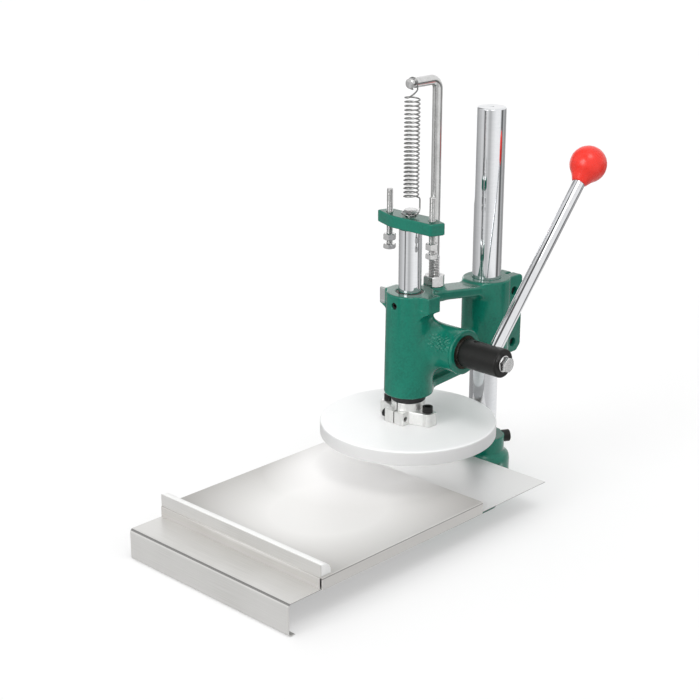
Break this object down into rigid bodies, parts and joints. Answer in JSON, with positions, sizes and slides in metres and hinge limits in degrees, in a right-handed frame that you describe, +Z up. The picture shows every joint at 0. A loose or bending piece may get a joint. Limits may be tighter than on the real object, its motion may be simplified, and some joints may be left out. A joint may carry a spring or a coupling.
{
  "type": "manual dough press",
  "caption": "Hand-operated dough press: a lever turns a pinion that drives a toothed ram and its round press disc down over a sliding work plate, with a return spring above.",
  "frame": {"origin": "on the bench, at the centre of the base's four bench bolts, straight below the press disc's centre", "axes": "+Z up along the ram, +Y from the press disc to the column, +X to the lever"},
  "size_m": [0.271, 0.5717, 0.5454],
  "materials": {
    "green_paint": "glossy paint on rough casting",
    "chrome": "polished",
    "stainless": "satin",
    "zinc_steel": "bright zinc",
    "spring_steel": "drawn wire",
    "plain_steel": "machined",
    "black_steel": "black oxide",
    "bronze": "machined",
    "aluminium": "machined",
    "black_rubber": "matt",
    "white_plastic": "matt",
    "red_plastic": "glossy"
  },
  "bodies": {
    "base": {"base_casting": "green_paint", "column": "chrome", "base_clamp_screw": "black_steel", "tray_sheet": "stainless", "tray_screws": "zinc_steel"},
    "head": {"head_casting": "green_paint", "head_clamp_screws": "black_steel", "upper_ram_bush": "bronze", "lower_ram_bush": "bronze", "guide_screw": "black_steel", "spring_post": "zinc_steel", "post_nut": "zinc_steel", "return_spring": "spring_steel", "outer_pinion_bush": "bronze", "inner_pinion_bush": "bronze"},
    "ram": {"ram": "chrome", "crossbar": "green_paint", "crossbar_bolt": "zinc_steel", "stop_bolts": "zinc_steel", "stop_nuts": "zinc_steel", "bumper_ring": "black_rubber", "clamp_collar": "aluminium", "collar_clamp_screw": "black_steel", "disc_screws": "black_steel", "press_disc": "white_plastic"},
    "lever": {"pinion_shaft": "plain_steel", "shaft_key": "plain_steel", "thrust_washer": "plain_steel", "lever_hub": "black_steel", "hub_grub_screw": "black_steel", "lever_lock_bolt": "zinc_steel", "lever_rod": "chrome", "ball_knob": "red_plastic"},
    "plate": {"work_plate": "stainless", "fence_strip": "stainless", "fence_bumper": "white_plastic", "fence_screws": "zinc_steel", "left_glide_rail": "white_plastic", "right_glide_rail": "white_plastic"}
  },
  "joints": [
    {"name": "head_height", "type": "slide", "parent": "base", "child": "head", "axis": [0, 0, 1], "range_m": [0, 0.08]},
    {"name": "ram_press", "type": "slide", "parent": "head", "child": "ram", "axis": [0, 0, -1], "range_m": [0, 0.0475], "stiffness_N_per_m": 1000, "springref_m": -0.045, "deforming": ["return_spring"]},
    {"name": "lever_turn", "type": "hinge", "parent": "head", "child": "lever", "pos_m": [0.05, 0.0285, 0.216], "axis": [1, 0, 0], "range_deg": [0, 151.5]},
    {"name": "plate_slide", "type": "slide", "parent": "base", "child": "plate", "axis": [0, 1, 0], "range_m": [0, 0.12]}
  ],
  "couplings": [
    {"joint": "lever_turn", "follows": "ram_press", "rad_per_m": 55.556}
  ]
}
